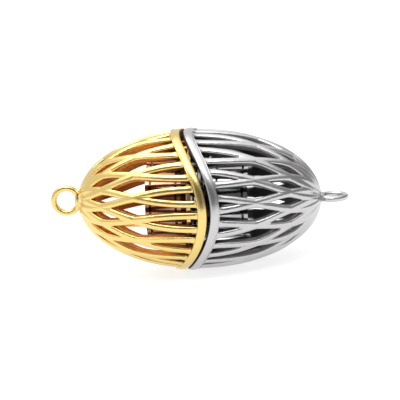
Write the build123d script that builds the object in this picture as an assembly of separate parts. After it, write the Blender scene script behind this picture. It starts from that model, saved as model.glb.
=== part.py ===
from build123d import *
import math
import os

# Two-tone magnetic clasp. Two equal silver castings, one gold plated and one
# rhodium plated, meet on a wavy seam. Each is a domed cage of crossing ribs
# with a wire loop at its end, and holds a magnet in a cup behind a round plate.
# The casting is drawn once, with its axis along X, its mouth towards +X and
# the crests of its seam facing -Y and +Y. The second half is the same casting
# turned end for end and a quarter turn about the axis.

# Driving sizes in millimetres and degrees
body_length = 24.0
rim_diameter = 14.0
rim_width = 0.9
rim_step = 0.18
rim_round = 0.14
cage_wall = 0.7
seam_rise = 1.5
seam_gap = 0.33
seat_twist = 3.0
rib_count = 16
rib_width = 0.7
rib_turn = 6.3
crossing_round = 0.1
opening_ledge = 0.06
loop_diameter = 3.1
loop_wire = 0.6
loop_sink = 0.47
loop_land = 0.24
plate_place = 0.54
plate_thickness = 0.46
plate_clearance = 0.15
cup_diameter = 7.5
cup_wall = 0.4
cup_mouth_place = 1.5
cup_length = 3.5
cup_bead_width = 0.4
cup_groove_width = 0.2
cup_groove_depth = 0.15
cup_collar_wall = 0.25
magnet_clearance = 0.05
magnet_face_place = 0.2
edge_round = 0.1

# The course of a rib over the dome: the first ring of crossings as a share of
# the dome's length, how far a rib stands from its crossing line at the rim as
# a share of half the pitch, and how quickly it leans over towards the cap
first_crossing_share = 0.5
rim_lead_share = 0.56
lean_power = 2.3

# How finely the curves are followed
side_points = 7
side_crowding = 1.5
seam_points = 17
seam_tolerance = 0.0005
tip_halvings = 30
slope_share = 0.01

# Worked-out sizes of the cage
half_length = body_length / 2
rim_radius = rim_diameter / 2
dome_radius = rim_radius - rim_step
inner_half_length = half_length - cage_wall
inner_radius = dome_radius - cage_wall
pitch = 360 / rib_count
half_pitch = pitch / 2
crossing_distance = first_crossing_share * half_length
rim_lead = rim_lead_share * half_pitch
edge_step = seam_gap / 2
beyond_rim = 1.1 * rim_radius

# Worked-out sizes of the cup, the magnet and the loop
cup_radius = cup_diameter / 2
magnet_radius = cup_radius - cup_wall - magnet_clearance
cup_bore = magnet_radius + magnet_clearance
cup_end = -cup_mouth_place - cup_length
plate_back = -plate_place - plate_thickness / 2
wire_radius = loop_wire / 2
loop_ring_radius = loop_diameter / 2 - wire_radius
loop_centre = -(half_length - loop_sink + loop_diameter / 2)
loop_hole_radius = loop_ring_radius - math.sqrt(wire_radius ** 2 - (loop_land / 2) ** 2)

# How the closed clasp rests on the floor. The white half has a crest of its
# seam underneath, rolled to the middle of the nearest opening. The back edge
# of its rim there and the ribs beyond it touch the floor, so the white end
# leans down by the slope of the line that touches both.
crest_edge = seam_rise - edge_step - rim_width
edge_part = rim_radius * crest_edge
step_part = rim_radius ** 2 - dome_radius ** 2
dome_part = half_length ** 2 - crest_edge ** 2
rest_slope = (math.sqrt(edge_part ** 2 + dome_part * step_part) - edge_part) / dome_part
rest_lean = math.degrees(math.atan(rest_slope))
rest_turn = math.remainder(180 - seat_twist - rib_turn - half_pitch, pitch)


def dome_radius_at(distance):
    # Outer radius of the dome at a distance from the middle of the clasp.
    share = min(1.0, abs(distance) / half_length)
    return dome_radius * math.sqrt(1 - share ** 2)


def rib_offset_at(distance):
    # Angle from a crossing line of the ribs to the middle of a rib. It is
    # minus rim_lead at the middle, zero at the first ring of crossings, and one
    # half pitch more at each further ring.
    share = max(0.0, distance) / crossing_distance
    return rim_lead * (share ** lean_power - 1)


def distance_at_offset(offset):
    # Distance from the middle at which a rib has the given offset.
    return crossing_distance * (1 + offset / rim_lead) ** (1 / lean_power)


def half_rib_angle_at(distance):
    # Half the rib's width as an angle about the axis, measured round the
    # dome and widened by the slope of the rib.
    step = slope_share * half_length
    rise = dome_radius_at(distance - step) - dome_radius_at(distance + step)
    along = math.hypot(2 * step, rise)
    turn = math.radians(rib_offset_at(distance + step) - rib_offset_at(distance - step))
    radius = dome_radius_at(distance)
    slope = radius * turn / along
    return math.degrees(rib_width / 2 * math.hypot(1, slope) / radius)


def seam_at(angle):
    # How far the seam lies towards +X of the middle, at an angle about the
    # axis. The crests face -Y and +Y.
    return seam_rise * math.cos(2 * math.radians(angle))


def opening_half_angle(row, distance):
    # Half the angle that an opening takes up. Row 1 holds the diamonds near
    # the cap, row 2 the long diamonds beside the crossings, and row 3 the
    # wedges from the crossings to the rim. The ribs are rounded into each
    # other where they cross.
    offset = rib_offset_at(distance)
    round_angle = math.degrees(crossing_round / dome_radius_at(distance))
    if row == 1:
        free = half_pitch - math.hypot(offset - half_pitch, round_angle)
    elif row == 2:
        free = half_pitch - math.hypot(offset, round_angle)
    else:
        free = -offset
    return free - half_rib_angle_at(distance)


def opening_tip(row, start, end):
    # The distance between start and end at which an opening closes.
    for halving in range(tip_halvings):
        middle = (start + end) / 2
        if opening_half_angle(row, middle) > 0:
            start = middle
        else:
            end = middle
    return (start + end) / 2


# Where the openings begin, are widest and end, from the middle outwards
second_ring = distance_at_offset(half_pitch)
third_ring = distance_at_offset(pitch)
cap_edge = min(third_ring, (1 - slope_share) * half_length)
wedge_tip = opening_tip(3, 0, crossing_distance)
long_tip = opening_tip(2, crossing_distance, second_ring)
inner_tip = opening_tip(1, second_ring, crossing_distance)
outer_tip = opening_tip(1, second_ring, cap_edge)


def wall_lean_at(distance):
    # How much the dome's outward normal leans towards the cap, as a slope.
    return distance * (dome_radius / half_length) ** 2 / dome_radius_at(distance)


def tool_point(row, distance, side, height):
    # A point of an opening's side wall, which stands square to the dome, at a
    # height above the clasp's axis. It is given in a flat view from outside.
    angle = math.radians(max(0.0, opening_half_angle(row, distance)))
    depth = dome_radius_at(distance) - height / math.cos(angle)
    x = -distance + depth * wall_lean_at(distance)
    return (x, -side * height * math.tan(angle))


def side_curve(row, first, last, side, height):
    # One side of an opening, from one distance to another. Its points crowd
    # towards the first end, where it bends most.
    points = []
    for index in range(side_points):
        share = (index / (side_points - 1)) ** side_crowding
        points.append(tool_point(row, first + (last - first) * share, side, height))
    return Spline(*points)


def rim_end(row, angle, side):
    # Where an opening meets the rim's ledge, on one side of its middle line.
    reach = edge_step + rim_width + opening_ledge
    half_angle = opening_half_angle(row, 0)
    return reach - seam_at(angle + side * half_angle)


def opening_outline(row, angle, height):
    # An opening's outline at a height above the clasp's axis.
    edges = []
    ends = []
    for side in (1, -1):
        end = rim_end(row, angle, side)
        if row == 1:
            spans = [(second_ring, inner_tip), (second_ring, outer_tip)]
        elif row == 2:
            spans = [(crossing_distance, end), (crossing_distance, long_tip)]
        else:
            spans = [(wedge_tip, end)]
        for first, last in spans:
            edges.append(side_curve(row, first, last, side, height))
        ends.append(tool_point(row, end, side, height))
    if row != 1:
        edges.append(Line(ends[0], ends[1]))
    outside = Plane(origin=(0, -height, 0), x_dir=(1, 0, 0), z_dir=(0, -1, 0))
    return outside * make_face(edges)


def opening_tool(row, angle):
    # The solid that cuts one opening, from well inside the wall to beyond it.
    tips = {1: outer_tip, 2: long_tip, 3: wedge_tip}
    low = opening_outline(row, angle, dome_radius_at(tips[row]) / 2)
    high = opening_outline(row, angle, beyond_rim)
    return Rot(angle, 0, 0) * loft([low, high], ruled=True)


def seam_block(shift, length):
    # All that lies beyond the seam towards +X, with the seam moved by shift.
    # Its face is level across the wall and wavy along it.
    steps = [beyond_rim * (2 * index / (seam_points - 1) - 1) for index in range(seam_points)]
    rows = []
    for y in steps:
        row = []
        for z in steps:
            share = (y * y + z * z) / rim_radius ** 2
            saddle = (y * y - z * z) / rim_radius ** 2
            row.append((seam_rise * saddle * (2 - share) + shift, y, z))
        rows.append(row)
    face = Face.make_surface_from_array_of_points(rows, tol=seam_tolerance, min_deg=3, max_deg=6)
    return extrude(face, length, dir=(1, 0, 0))


def ellipsoid(length_radius, cross_radius):
    # A solid dome of revolution about X, both ends.
    arc = EllipticalCenterArc((0, 0), length_radius, cross_radius, 0, arc_size=180)
    base = Line((-length_radius, 0), (length_radius, 0))
    return revolve(make_face([arc, base]), Axis.X)


def disc(radius, start, end):
    # A round disc about X from start to end.
    return Pos(start, 0, 0) * (Rot(0, 90, 0) * Cylinder(
        radius, end - start, align=(Align.CENTER, Align.CENTER, Align.MIN)))


def rim_edges(cage):
    # The two wavy outer edges of the rim.
    near = 0.1 * rim_step
    edges = []
    for edge in cage.edges().filter_by(GeomType.BSPLINE):
        places = [edge.position_at(share) for share in (0.1, 0.5, 0.9)]
        if all(abs(math.hypot(place.Y, place.Z) - rim_radius) < near for place in places):
            edges.append(edge)
    return edges


def make_loop():
    # The wire loop soldered on the pole of the dome. A narrow round land
    # inside it is the bore that a jump ring or wire goes through.
    ring = Rot(90, 0, 0) * Torus(loop_ring_radius, wire_radius)
    hole = Rot(90, 0, 0) * Cylinder(loop_hole_radius, loop_wire)
    return Pos(loop_centre, 0, 0) * (ring - hole)


def make_cage():
    # The casting: rim, ribs and cap in one, and the loop soldered on. The rim
    # stands a little proud of the ribs, so its edges are rounded within that.
    blank = disc(rim_radius, -half_length - rim_step, 2 * seam_rise)
    behind_rim = blank - seam_block(-edge_step - rim_width, 2 * body_length)
    blank = blank - (behind_rim - ellipsoid(half_length, dome_radius))
    blank = blank - seam_block(-edge_step, body_length)
    cage = blank - ellipsoid(inner_half_length, inner_radius)
    tools = []
    for index in range(rib_count):
        crossing = rib_turn + index * pitch
        between = crossing + half_pitch
        tools.append(opening_tool(1, crossing))
        tools.append(opening_tool(2, between))
        tools.append(opening_tool(3, crossing))
    cage = cage - tools
    round_limit = min(0.8 * rim_step, 0.4 * rim_width)
    cage = fillet(rim_edges(cage), min(rim_round, round_limit))
    return cage + make_loop()


def make_plate():
    # The round plate across the mouth, with a hole that the magnet fills.
    front = plate_back + plate_thickness
    plate = disc(inner_radius - plate_clearance, plate_back, front)
    plate = fillet(plate.edges().filter_by(GeomType.CIRCLE), edge_round)
    return plate - disc(cup_bore, plate_back - edge_round, front + edge_round)


def make_cup():
    # The round cup that holds the magnet. A groove sets off a bead at each of
    # its ends, and a thin collar at its mouth stands against the plate.
    cup = disc(cup_radius, cup_end, -cup_mouth_place)
    groove = disc(2 * cup_radius, 0, cup_groove_width)
    groove = groove - disc(cup_radius - cup_groove_depth, 0, cup_groove_width)
    cup = cup - Pos(cup_end + cup_bead_width, 0, 0) * groove
    cup = cup - Pos(-cup_mouth_place - cup_bead_width - cup_groove_width, 0, 0) * groove
    collar_end = plate_back - magnet_clearance
    cup = cup + disc(cup_bore + cup_collar_wall, -cup_mouth_place, collar_end)
    return cup - disc(cup_bore, cup_end + cup_wall, collar_end)


def make_magnet():
    # The disc magnet, from the floor of its cup to just short of the seam.
    back = cup_end + cup_wall + magnet_clearance
    magnet = disc(magnet_radius, back, -magnet_face_place)
    return fillet(magnet.edges().filter_by(GeomType.CIRCLE), edge_round)


# The white half is turned end for end and a quarter turn less the twist
white_turn = Rot(90 - seat_twist, 0, 0) * Rot(0, 0, 180)
leaning = Rot(0, rest_lean, 0) * Rot(-rest_turn, 0, 0)

castings = {
    "cage": make_cage(),
    "mouth_plate": make_plate(),
    "magnet_cup": make_cup(),
    "magnet": make_magnet(),
}
pieces = {}
for name, shape in castings.items():
    pieces["yellow_" + name] = leaning * shape
    pieces["white_" + name] = leaning * white_turn * shape

# The clasp stands on the floor with the middle of its outer box at the origin
boxes = [piece.bounding_box() for piece in pieces.values()]
left = min(box.min.X for box in boxes)
right = max(box.max.X for box in boxes)
front = min(box.min.Y for box in boxes)
back = max(box.max.Y for box in boxes)
floor = min(box.min.Z for box in boxes)
on_floor = Pos(-(left + right) / 2, -(front + back) / 2, -floor)

os.makedirs("parts", exist_ok=True)
for name, piece in pieces.items():
    standing = on_floor * piece
    standing.label = name
    export_step(standing, "parts/" + name + ".step")
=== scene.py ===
import math

import bpy
from mathutils import Matrix, Vector


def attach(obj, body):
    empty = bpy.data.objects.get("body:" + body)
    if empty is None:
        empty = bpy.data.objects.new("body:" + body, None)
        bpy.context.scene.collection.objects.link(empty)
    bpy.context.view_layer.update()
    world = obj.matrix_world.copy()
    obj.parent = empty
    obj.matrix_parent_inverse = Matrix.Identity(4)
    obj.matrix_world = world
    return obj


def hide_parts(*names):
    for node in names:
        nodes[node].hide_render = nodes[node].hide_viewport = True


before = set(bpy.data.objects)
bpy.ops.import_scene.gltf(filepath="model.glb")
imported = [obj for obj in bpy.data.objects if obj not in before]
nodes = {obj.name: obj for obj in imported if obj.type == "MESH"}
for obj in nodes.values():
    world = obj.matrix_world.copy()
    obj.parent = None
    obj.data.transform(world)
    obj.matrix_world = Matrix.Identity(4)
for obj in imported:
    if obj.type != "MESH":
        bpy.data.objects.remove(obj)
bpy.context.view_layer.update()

mm = 0.001

# The castings. Each half of the clasp is one lost-wax silver casting: a wavy rim, thirty-two ribs that
# cross on their way up the dome, and a closed cap. It is shaped here lying along X with its mouth
# towards +X, as the ribs run, and each half is then turned to where it lies.
half_length = 12.0
dome_radius = 6.82
cage_wall = 0.7
rim_width = 0.9
rim_step = 0.18
seam_rise = 1.5
half_seam_gap = 0.165
pitch = 22.5
half_pitch = pitch / 2
rib_width = 0.7
rib_turn = 6.3
crossing_round = 0.1
crossing_distance = 6.0
rim_lead = 6.3
lean_power = 2.3
edge_crease = 0.4
sharp_edge = 40
outer_share = 0.97


def dome_radius_at(distance):
    # Radius of the dome at a distance from the middle of the clasp.
    return dome_radius * math.sqrt(max(0.0, 1 - (distance / half_length) ** 2))


def rib_offset_at(distance):
    # Angle from a crossing line to the middle of a rib.
    share = max(0.0, distance) / crossing_distance
    return rim_lead * (share ** lean_power - 1)


def rib_slope_at(distance):
    # How steeply a rib runs round the dome for each step along it.
    step = 0.01 * half_length
    rise = dome_radius_at(distance - step) - dome_radius_at(distance + step)
    turn = rib_offset_at(distance + step) - rib_offset_at(distance - step)
    return dome_radius_at(distance) * math.radians(turn) / math.hypot(2 * step, rise)


def opening_half_angle(row, distance):
    # Half the angle of an opening: row 1 near the cap, row 2 beside the crossings, row 3 at the rim.
    radius = dome_radius_at(distance)
    offset = rib_offset_at(distance)
    round_angle = math.degrees(crossing_round / radius)
    half_rib = math.degrees(rib_width / 2 * math.hypot(1, rib_slope_at(distance)) / radius)
    if row == 1:
        free = half_pitch - math.hypot(offset - half_pitch, round_angle)
    elif row == 2:
        free = half_pitch - math.hypot(offset, round_angle)
    else:
        free = -offset
    return free - half_rib


def opening_tip(row, start, end):
    # The distance at which an opening closes.
    for halving in range(30):
        middle = (start + end) / 2
        if opening_half_angle(row, middle) > 0:
            start = middle
        else:
            end = middle
    return (start + end) / 2


def seam_at(turn):
    # How far the seam lies towards +X at an angle round the clasp.
    return seam_rise * math.cos(2 * math.radians(turn))


second_ring = crossing_distance * (1 + half_pitch / rim_lead) ** (1 / lean_power)
third_ring = crossing_distance * (1 + pitch / rim_lead) ** (1 / lean_power)
wedge_tip = opening_tip(3, 0, crossing_distance)
long_tip = opening_tip(2, crossing_distance, second_ring)
inner_tip = opening_tip(1, second_ring, crossing_distance)
outer_tip = opening_tip(1, second_ring, third_ring)

# Rings of faces from the seam to the pole: across the rim, and then between the places where the
# openings end or are widest
rim_rings = (0.0, 0.2, 0.8, 1.0)
rib_rings = (
    (None, wedge_tip, (0.3, 0.62, 0.86, 0.96, 1.0)),
    (wedge_tip, crossing_distance, (0.4, 0.84, 1.0)),
    (crossing_distance, inner_tip, (0.16, 0.6, 1.0)),
    (inner_tip, long_tip, (0.25, 0.8, 1.0)),
    (long_tip, second_ring, (0.4, 0.82, 1.0)),
    (second_ring, outer_tip, (0.18, 0.55, 0.9, 1.0)),
    (outer_tip, half_length, (0.25, 0.6, 0.88, 1.0)),
)
rings = [(None, "rim", share) for share in rim_rings]
for start, end, shares in rib_rings:
    rings += [(start, end, share) for share in shares]
columns_per_pitch = 8
columns = 16 * columns_per_pitch


def column_turn(column, distance):
    # Where a line of faces runs: along a crossing line, a rib's edges or its middle, or between ribs.
    cell, place = divmod(column, columns_per_pitch)
    inner = 0.0
    outer = half_pitch
    if distance < outer_tip:
        row = 3 if distance < crossing_distance else 1
        inner = max(0.0, opening_half_angle(row, distance))
        outer = half_pitch - max(0.0, opening_half_angle(2, distance))
    middle = (inner + outer) / 2
    turns = (0.0, inner, middle, outer, half_pitch, pitch - outer, pitch - middle, pitch - inner)
    return rib_turn + pitch * cell + turns[place]


def ring_place(ring, column):
    # Distance from the middle of the clasp and angle round it, where a ring and a column meet.
    start, end, share = rings[ring]
    ledge = 0.0
    for again in range(6):
        turn = column_turn(column, ledge)
        ledge = half_seam_gap + rim_width - seam_at(turn)
    if end == "rim":
        return ledge - rim_width * (1 - share), turn
    if start is None:
        start = ledge
    distance = start + (end - start) * share
    return distance, column_turn(column, distance)


def dome_level(place):
    # 1 on the dome's outside, and less within the wall.
    return math.hypot(place.x / half_length, math.hypot(place.y, place.z) / dome_radius) / mm


def turn_of(place):
    return math.degrees(math.atan2(-place.z, -place.y))


def choose_faces(piece, wanted):
    # Selects the faces for which wanted(face) holds, and leaves the piece in edit mode.
    bpy.ops.object.mode_set(mode="EDIT")
    bpy.ops.mesh.select_mode(type="FACE")
    bpy.ops.mesh.select_all(action="DESELECT")
    bpy.ops.object.mode_set(mode="OBJECT")
    for face in piece.data.polygons:
        face.select = wanted(face)
    bpy.ops.object.mode_set(mode="EDIT")


def apply_modifier(piece, kind, **settings):
    # Adds a modifier to the piece and applies it.
    modifier = piece.modifiers.new(kind.lower(), kind)
    for name, value in settings.items():
        setattr(modifier, name, value)
    bpy.context.view_layer.objects.active = piece
    bpy.ops.object.modifier_apply(modifier=modifier.name)


bpy.ops.object.select_all(action="DESELECT")
bpy.ops.mesh.primitive_grid_add(x_subdivisions=columns, y_subdivisions=len(rings) - 1, size=2)
casting = bpy.context.object
flat_places = [
    (round((v.co.y + 1) / 2 * (len(rings) - 1)), round((v.co.x + 1) / 2 * columns))
    for v in casting.data.vertices
]


def in_opening(face):
    ring = min(flat_places[v][0] for v in face.vertices)
    column = min(flat_places[v][1] for v in face.vertices)
    return ring >= len(rim_rings) - 1 and column % columns_per_pitch in (0, 3, 4, 7)


for vertex in casting.data.vertices:
    distance, turn = ring_place(*flat_places[vertex.index])
    radius = dome_radius_at(distance)
    angle = math.radians(turn)
    vertex.co = Vector((-distance, -radius * math.cos(angle), -radius * math.sin(angle))) * mm
choose_faces(casting, in_opening)
bpy.ops.mesh.delete(type="FACE")
bpy.ops.mesh.select_all(action="SELECT")
bpy.ops.mesh.remove_doubles(threshold=0.002 * mm)
bpy.ops.mesh.normals_make_consistent(inside=False)
bpy.ops.object.mode_set(mode="OBJECT")
apply_modifier(casting, "SOLIDIFY", thickness=cage_wall * mm, offset=-1, use_quality_normals=True)


def on_rim(face):
    ledge = seam_at(turn_of(face.center)) - half_seam_gap - rim_width
    places = [casting.data.vertices[v].co for v in face.vertices]
    return face.center.x > ledge * mm and all(dome_level(place) > outer_share for place in places)


# The rim stands a little proud of the ribs, and every edge is softened as by polishing
choose_faces(casting, on_rim)
bpy.ops.mesh.extrude_region_shrink_fatten(TRANSFORM_OT_shrink_fatten={"value": rim_step * mm})
bpy.ops.mesh.select_all(action="DESELECT")
bpy.ops.mesh.select_mode(type="EDGE")
bpy.ops.mesh.edges_select_sharp(sharpness=math.radians(sharp_edge))
bpy.ops.transform.edge_crease(value=edge_crease)
bpy.ops.object.mode_set(mode="OBJECT")
apply_modifier(casting, "SUBSURF", levels=2, render_levels=2)

# Each rib is crowned, the ribs go on over the cap as fine flutes that meet at its pole, and the rim is
# rounded over. Only the dome's outer skin is worked, so its inside stays smooth.
rib_crown = 0.11
rim_crown = 0.11
crown_start = 0.4
flute_reach = 0.48
pole_gap = 0.02
skin_level = 0.955
skin_depth = 0.04


def rib_distance(place):
    # Distance in millimetres, across a rib, from the nearest rib's middle line.
    distance = min(-place.x / mm, half_length - pole_gap)
    offset = rib_offset_at(distance)
    nearest = pitch
    for side in (1, -1):
        turn = (turn_of(place) - rib_turn - side * offset) % pitch
        nearest = min(nearest, turn, pitch - turn)
    run = dome_radius_at(distance) * math.radians(nearest)
    return run / math.hypot(1, rib_slope_at(distance))


for vertex in casting.data.vertices:
    place = vertex.co
    beyond_ledge = place.x / mm - seam_at(turn_of(place)) + half_seam_gap + rim_width
    fade = min(1.0, max(0.0, (dome_level(place) - skin_level) / skin_depth))
    if beyond_ledge < 0:
        depth = min(rib_distance(place), flute_reach) / (rib_width / 2)
        drop = rib_crown * depth ** 2 * min(1.0, -beyond_ledge / crown_start)
    else:
        drop = rim_crown * (2 * beyond_ledge / rim_width - 1) ** 2
    slant = Vector((place.x * (dome_radius / half_length) ** 2, place.y, place.z)).normalized()
    vertex.co = place - slant * (drop * fade * mm)
bpy.ops.object.shade_smooth()

# The wire loops. Each is a ring of round silver wire, soldered on the pole of its dome with a little
# solder drawn into the corner, before the half is plated.
loop_diameter = 3.1
loop_wire = 0.6
loop_sink = 0.47
loop_ring_radius = (loop_diameter - loop_wire) / 2
smoothing_loss = 0.006
loop_centre = -(half_length - loop_sink + loop_diameter / 2)
solder_radii = (0.3, 0.5, 0.85)
voxel = 0.055

bpy.ops.object.select_all(action="DESELECT")
bpy.ops.mesh.primitive_torus_add(
    major_radius=loop_ring_radius * mm, minor_radius=(loop_wire / 2 + smoothing_loss) * mm,
    major_segments=64, minor_segments=20,
    location=(loop_centre * mm, 0, 0), rotation=(math.pi / 2, 0, 0))
loop = bpy.context.object
bpy.ops.mesh.primitive_uv_sphere_add(
    segments=32, ring_count=16, radius=mm, location=(-half_length * mm, 0, 0))
solder = bpy.context.object
solder.scale = solder_radii
loop.select_set(True)
bpy.ops.object.transform_apply(location=True, rotation=True, scale=True)
bpy.context.view_layer.objects.active = loop
bpy.ops.object.join()
apply_modifier(loop, "REMESH", mode="VOXEL", voxel_size=voxel * mm)
apply_modifier(loop, "SMOOTH", factor=0.5, iterations=12)
bpy.ops.object.shade_smooth()
apply_modifier(casting, "BOOLEAN", operation="UNION", solver="MANIFOLD", object=loop)
bpy.data.objects.remove(loop)

# The two halves. They are cast from one wax model, so the white one is a copy of the yellow, turned
# end for end and a quarter turn about the clasp's axis, less the few degrees that it sits twisted.
rim_radius = 7.0
seat_twist = 3.0
rest_lean = 6.393
rest_turn = 1.95
rest_middle = (0.0039, 0, 6.9013)
lying = Matrix.Translation(Vector(rest_middle) * mm) @ Matrix.Rotation(math.radians(rest_lean), 4, "Y")
lying = lying @ Matrix.Rotation(-math.radians(rest_turn), 4, "X")
quarter_turn = Matrix.Rotation(math.radians(90 - seat_twist), 4, "X") @ Matrix.Rotation(math.pi, 4, "Z")

yellow_casting = casting
yellow_casting.name = "yellow_casting"
white_casting = casting.copy()
white_casting.data = casting.data.copy()
white_casting.name = "white_casting"
bpy.context.scene.collection.objects.link(white_casting)
yellow_casting.data.transform(lying)
white_casting.data.transform(lying @ quarter_turn)
for half, piece, slot in (
        ("yellow", yellow_casting, "gold_plate"), ("white", white_casting, "rhodium_plate")):
    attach(piece, half + "_half")
    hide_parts(half + "_cage")


# The plating. Each casting is plated after its loop is soldered, the one with yellow gold and the other
# with rhodium, and then polished, which leaves strokes along the ribs and round the rim.
class Wire:
    # One output of a shader node. Sums on wires add Math nodes to the material that it belongs to.
    def __init__(self, tree, socket=None):
        self.tree = tree
        self.socket = socket

    def node(self, kind, settings, inputs, output=0):
        # Adds a node with its settings and the values or wires of its sockets, and gives its output.
        made = self.tree.nodes.new(kind)
        for name, value in settings.items():
            setattr(made, name, value)
        for name, value in inputs.items():
            if isinstance(value, Wire):
                self.tree.links.new(value.socket, made.inputs[name])
            else:
                made.inputs[name].default_value = value
        return Wire(self.tree, made.outputs[output])

    def maths(self, operation, first, second):
        return self.node("ShaderNodeMath", {"operation": operation}, {0: first, 1: second})

    def __add__(self, other):
        return self.maths("ADD", self, other)

    def __sub__(self, other):
        return self.maths("SUBTRACT", self, other)

    def __rsub__(self, other):
        return self.maths("SUBTRACT", other, self)

    def __mul__(self, other):
        return self.maths("MULTIPLY", self, other)

    def __truediv__(self, other):
        return self.maths("DIVIDE", self, other)

    def __pow__(self, other):
        return self.maths("POWER", self, other)

    __radd__ = __add__
    __rmul__ = __mul__


def mixed(share, first, second):
    # A colour between two colours.
    return share.node(
        "ShaderNodeMix", {"data_type": "RGBA"}, {0: share, 6: first, 7: second}, output=2)


def faded(value, low, high):
    # 0 below low, 1 above high and smooth between them.
    return value.node(
        "ShaderNodeMapRange", {"interpolation_type": "SMOOTHSTEP"},
        {0: value, 1: low, 2: high, 3: 0.0, 4: 1.0})


def faded_band(value, low, high, edge):
    # 1 between low and high, and 0 beyond their soft edges.
    return faded(value, low - edge, low) * (1.0 - faded(value, high, high + edge))


class Finish:
    # A metal finish, with places on it measured as on the half before it was laid down: x from the
    # middle of the clasp, and level 1 on the outside of the dome.
    def __init__(self, name, placed):
        self.material = bpy.data.materials.new(name)
        self.material.use_nodes = True
        self.tree = self.material.node_tree
        self.shader = self.tree.nodes["Principled BSDF"]
        self.shader.inputs["Metallic"].default_value = 1.0
        on_object = Wire(self.tree).node("ShaderNodeTexCoord", {}, {}, output="Object")
        self.place = on_object.node("ShaderNodeMapping", {"vector_type": "TEXTURE"}, {
            "Vector": on_object, "Location": placed.translation, "Rotation": placed.to_euler("XYZ"),
            "Scale": (mm, mm, mm)})
        self.x, self.y, self.z = (
            self.place.node("ShaderNodeSeparateXYZ", {}, {0: self.place}, output=axis) for axis in "XYZ")
        self.across = (self.y * self.y + self.z * self.z) ** 0.5

    def noise(self, vector, scale, detail):
        return self.place.node(
            "ShaderNodeTexNoise", {}, {"Vector": vector, "Scale": scale, "Detail": detail})

    def stretched(self, x, y, z):
        # Places stretched, so that a pattern on them is fine along one way and long along another.
        return self.place.node("ShaderNodeMapping", {}, {"Vector": self.place, "Scale": (x, y, z)})

    def finish(self, colour, roughness, height, depth):
        # Sets the colour and roughness, and a relief that is depth millimetres deep.
        dents = self.place.node("ShaderNodeBump", {}, {"Distance": depth * mm, "Height": height})
        for name, wire in (("Base Color", colour), ("Roughness", roughness), ("Normal", dents)):
            self.tree.links.new(wire.socket, self.shader.inputs[name])
        return self.material


polished_level = 0.992
wall_level = 0.935
inside_level = (0.90, 0.93)
seam_fade = (0.02, 0.09)
mouth_fade = (0.8, 3.2)
rim_edge_fade = 0.1
polish_depth = 0.012
rim_stroke_share = 2.2


def plating(name, placed, bright, wall_shade, inner, mouth_shadow_colour, seam_shade, least_rough):
    # Polished plating. It is bright on the outside of the dome, and duller on the walls of the openings and
    # inside the cage, where no polishing stick reaches; these also get painted shade, on gold mixed with
    # painted orange reflection, and nearly black painted shade inside the mouth. Where the rims meet it is
    # dull, with painted shade in the gap.
    metal = Finish(name, placed)
    along = metal.x / half_length
    across = metal.across / dome_radius
    level = (along * along + across * across) ** 0.5
    rough_shaded_walls = 1.0 - faded(level, wall_level, polished_level)
    saddle = (metal.y * metal.y - metal.z * metal.z) / (metal.across * metal.across)
    from_seam = saddle * seam_rise - metal.x
    seam = 1.0 - faded(from_seam - half_seam_gap, *seam_fade)
    mouth_shadow = (1.0 - faded(from_seam, *mouth_fade)) * rough_shaded_walls
    cloud = metal.noise(metal.place, 0.6, 2.0)
    grain = metal.noise(metal.place, 5.0, 3.0)
    strokes = metal.noise(metal.stretched(0.6, 6.0, 6.0), 1.4, 4.0)
    round_rim = metal.place.node(
        "ShaderNodeCombineXYZ", {}, {0: from_seam * 5.0, 1: metal.y * 0.35, 2: metal.z * 0.35})
    rim_strokes = metal.noise(round_rim, 1.0, 2.0)
    rim_end = half_seam_gap + rim_width
    on_rim = 1.0 - faded(from_seam, rim_end - rim_edge_fade, rim_end)
    relief = strokes * (1.0 - on_rim) + rim_strokes * on_rim * rim_stroke_share + grain * 0.4
    # Painted shade on the walls of the openings; on gold it is also painted orange reflection
    colour = mixed(rough_shaded_walls * (0.75 + cloud * 0.5), (*bright, 1.0), (*wall_shade, 1.0))
    # Painted shade inside the cage, near black on rhodium, and painted orange reflection on gold
    colour = mixed(1.0 - faded(level, *inside_level), colour, (*inner, 1.0))
    # Near black painted shadow inside the mouth
    colour = mixed(mouth_shadow, colour, (*mouth_shadow_colour, 1.0))
    # Painted shade in the gap where the rims meet; the seam is also rougher
    colour = mixed(seam, colour, (*seam_shade, 1.0))
    rough = least_rough + grain * 0.08 + cloud * 0.06 + rough_shaded_walls * 0.22 + seam * 0.25
    return metal.finish(colour, rough, relief, polish_depth)


# Only the first colour of each plating is the metal's own; the other four are painted shade, and on gold
# the wall and inside colours are also painted orange reflection
gold_plate = plating(
    "gold_plate", lying,
    bright=(0.78, 0.59, 0.22), wall_shade=(0.93, 0.47, 0.12), inner=(0.90, 0.44, 0.11),
    mouth_shadow_colour=(0.03, 0.014, 0.007), seam_shade=(0.20, 0.11, 0.04), least_rough=0.12)
rhodium_plate = plating(
    "rhodium_plate", lying @ quarter_turn,
    bright=(0.54, 0.53, 0.535), wall_shade=(0.32, 0.31, 0.31), inner=(0.085, 0.08, 0.08),
    mouth_shadow_colour=(0.012, 0.011, 0.012), seam_shade=(0.16, 0.155, 0.155), least_rough=0.18)
for piece, material in ((yellow_casting, gold_plate), (white_casting, rhodium_plate)):
    piece.data.materials.clear()
    piece.data.materials.append(material)

# The magnet cups. Each is a round steel cup turned on a lathe, with a bead at each end of its wall, and
# it is plated with its half and pressed on the back of the mouth plate.
# Painted shade, nearly black, for grooves and for the part of a piece that lies in the shade of the rim
groove_shade = (0.02, 0.015, 0.012, 1.0)
shade_share = 0.9
edge_shade_width = 0.4


def refinish(node_name, material):
    # Gives a CAD node its real finish.
    nodes[node_name].data.materials.clear()
    nodes[node_name].data.materials.append(material)


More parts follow.
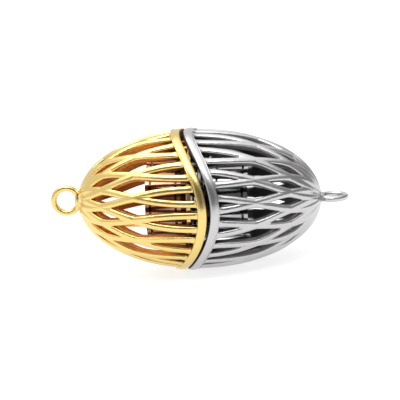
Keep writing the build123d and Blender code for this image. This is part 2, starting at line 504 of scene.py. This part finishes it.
def turned(name, placed, tint, dull, line_scale, relief, grooves=(), unshaded_radius=rim_radius):
    # Metal turned on a lathe: fine lines that run round the clasp's axis, duller patches, painted shade in
    # its grooves, which are given from the middle of the clasp outwards, and painted shade beyond the
    # radius where shade starts.
    metal = Finish(name, placed)
    lines = metal.noise(metal.stretched(line_scale, 0.05, 0.05), 1.0, 3.0)
    facing = metal.noise(metal.stretched(0.1, 1.0, 1.0), 1.5, 3.0)
    patches = metal.noise(metal.place, 0.8, 2.0)
    colour = mixed(patches, (*tint, 1.0), (*dull, 1.0))
    # Painted shade in each groove
    for start, end in grooves:
        groove_shadow = faded_band(0.0 - metal.x, start, end, 0.03)
        colour = mixed(groove_shadow * shade_share, colour, groove_shade)
    # Painted shade beyond the radius where the rim shades the piece
    edge_shadow = faded(metal.across, unshaded_radius, unshaded_radius + edge_shade_width)
    colour = mixed(edge_shadow * shade_share, colour, groove_shade)
    rough = 0.06 + lines * 0.08 + patches * 0.06
    return metal.finish(colour, rough, lines + facing * 0.3, relief)


# The cup's grooves, and its end by the mouth plate, get painted shade; they are given from the middle of
# the clasp outwards
cup_grooves = ((0.7, 1.48), (1.9, 2.1), (4.4, 4.6))
# The gold cup's colours are darker and browner than its half's gold plating: painted shade from the cage
# round it
gold_cup = ((0.48, 0.30, 0.20), (0.22, 0.12, 0.08))
rhodium_cup = ((0.60, 0.60, 0.62), (0.22, 0.22, 0.23))
cup_line_scale = 9.0
cup_relief = 0.01
refinish("yellow_magnet_cup", turned(
    "gold_plated_cup", lying, *gold_cup, cup_line_scale, cup_relief, cup_grooves))
refinish("white_magnet_cup", turned(
    "rhodium_plated_cup", lying @ quarter_turn, *rhodium_cup, cup_line_scale, cup_relief, cup_grooves))

# The mouth plates. Each is a round brass plate across the mouth of its half, turned and plated, and it
# is soldered inside the rim once the magnet cup is in.
gold_disc = ((0.90, 0.66, 0.34), (0.55, 0.36, 0.15))
rhodium_disc = ((0.55, 0.55, 0.57), (0.30, 0.30, 0.32))
disc_line_scale = 4.0
disc_relief = 0.01
refinish("yellow_mouth_plate", turned(
    "gold_plated_disc", lying, *gold_disc, disc_line_scale, disc_relief))
# The white mouth plate gets painted shade beyond 5.2 mm from the axis, under the rim
refinish("white_mouth_plate", turned(
    "rhodium_plated_disc", lying @ quarter_turn, *rhodium_disc, disc_line_scale, disc_relief,
    unshaded_radius=5.2))

# The magnets. Each is a sintered neodymium disc, ground flat and nickel plated, glued in its cup so that
# its face stands just behind the seam.
nickel = ((0.62, 0.60, 0.56), (0.45, 0.43, 0.40))
grinding_scale = 3.0
grinding_relief = 0.004
refinish("yellow_magnet", turned(
    "nickel_yellow", lying, *nickel, grinding_scale, grinding_relief))
refinish("white_magnet", turned(
    "nickel_white", lying @ quarter_turn, *nickel, grinding_scale, grinding_relief))

# The studio: a pale floor, soft lights and a long lens at the photograph's angle, which shows the rim
# about 143 pixels across in a picture 400 pixels wide.
rim_pixels = 143.3
picture_pixels = 400
pixel = rim_radius * 2 / rim_pixels * mm
azimuth = math.radians(7.72)
elevation = math.radians(15.98)
roll = math.radians(9.2)
aim_pixels = (0.4, -1.5)
lens = 800.0
floor_size = 1.2
floor_grey = 0.38
floor_glow = 0.76
right = Vector((math.cos(azimuth), math.sin(azimuth), 0))
back = Vector((
    math.sin(azimuth) * math.cos(elevation), -math.cos(azimuth) * math.cos(elevation), math.sin(elevation)))
above = back.cross(right)
camera_right = right * math.cos(roll) - above * math.sin(roll)
camera_up = right * math.sin(roll) + above * math.cos(roll)
camera_data = bpy.data.cameras.new("camera")
camera_data.lens = lens
camera_data.clip_start = 0.01
camera_data.clip_end = 10.0
camera = bpy.data.objects.new("camera", camera_data)
bpy.context.scene.collection.objects.link(camera)
camera_distance = picture_pixels * pixel * lens / camera_data.sensor_width
aim = Vector(rest_middle) * mm + (camera_right * aim_pixels[0] + camera_up * aim_pixels[1]) * pixel
camera_place = Matrix((camera_right, camera_up, back)).transposed().to_4x4()
camera_place.translation = aim + back * camera_distance
camera.matrix_world = camera_place
bpy.context.scene.camera = camera
bpy.context.scene.view_settings.view_transform = "Standard"

bpy.ops.object.select_all(action="DESELECT")
bpy.ops.mesh.primitive_plane_add(size=floor_size)
floor = bpy.context.object
floor.name = "floor"
floor_material = bpy.data.materials.new("floor")
floor_material.use_nodes = True
floor_shader = floor_material.node_tree.nodes["Principled BSDF"]
floor_shader.inputs["Base Color"].default_value = (floor_grey, floor_grey, floor_grey, 1)
floor_shader.inputs["Emission Color"].default_value = (1, 1, 1, 1)
floor_shader.inputs["Emission Strength"].default_value = floor_glow
floor_shader.inputs["Roughness"].default_value = 0.7
floor_shader.inputs["Specular IOR Level"].default_value = 0.1
floor.data.materials.append(floor_material)

# The tent of white cloth round the clasp: bright overhead, dimmer to the right, and dark in front, where
# it is open above the lens
cloth_brightness = 0.92
front_loss = 0.74
right_loss = 0.6
overhead_gain = 0.7
shade_rise = math.radians(27)
world = bpy.data.worlds.new("tent")
world.use_nodes = True
bpy.context.scene.world = world
tent = world.node_tree
direction = Wire(tent).node("ShaderNodeTexCoord", {}, {}, output="Generated")


def towards(way, low, high):
    # 0 to 1 from the cloth on the way's far side to the cloth that lies that way.
    facing = direction.node(
        "ShaderNodeVectorMath", {"operation": "DOT_PRODUCT"}, {0: direction, 1: way}, output="Value")
    return faded(facing, low, high)


open_front = towards((-0.05, -math.cos(shade_rise), math.sin(shade_rise)), 0.76, 0.95)
right_side = towards((1.0, 0.0, 0.0), 0.1, 0.8)
overhead = towards((0.0, 0.0, 1.0), 0.55, 0.8)
cloth = cloth_brightness - open_front * front_loss - right_side * right_loss + overhead * overhead_gain
tent.nodes["Background"].inputs["Color"].default_value = (1, 1, 1, 1)
tent.links.new(cloth.socket, tent.nodes["Background"].inputs["Strength"])


def soft_light(name, place, size, power):
    lamp = bpy.data.lights.new(name, "AREA")
    lamp.shape = "RECTANGLE"
    lamp.size, lamp.size_y = size
    lamp.energy = power
    box = bpy.data.objects.new(name, lamp)
    bpy.context.scene.collection.objects.link(box)
    box.location = place
    box.rotation_euler = (Vector(rest_middle) * mm - Vector(place)).to_track_quat("-Z", "Y").to_euler()


soft_light("top_box", (-0.05, -0.02, 0.32), (0.50, 0.10), 0.45)
soft_light("front_strip", (-0.04, -0.16, 0.29), (0.36, 0.05), 0.2)
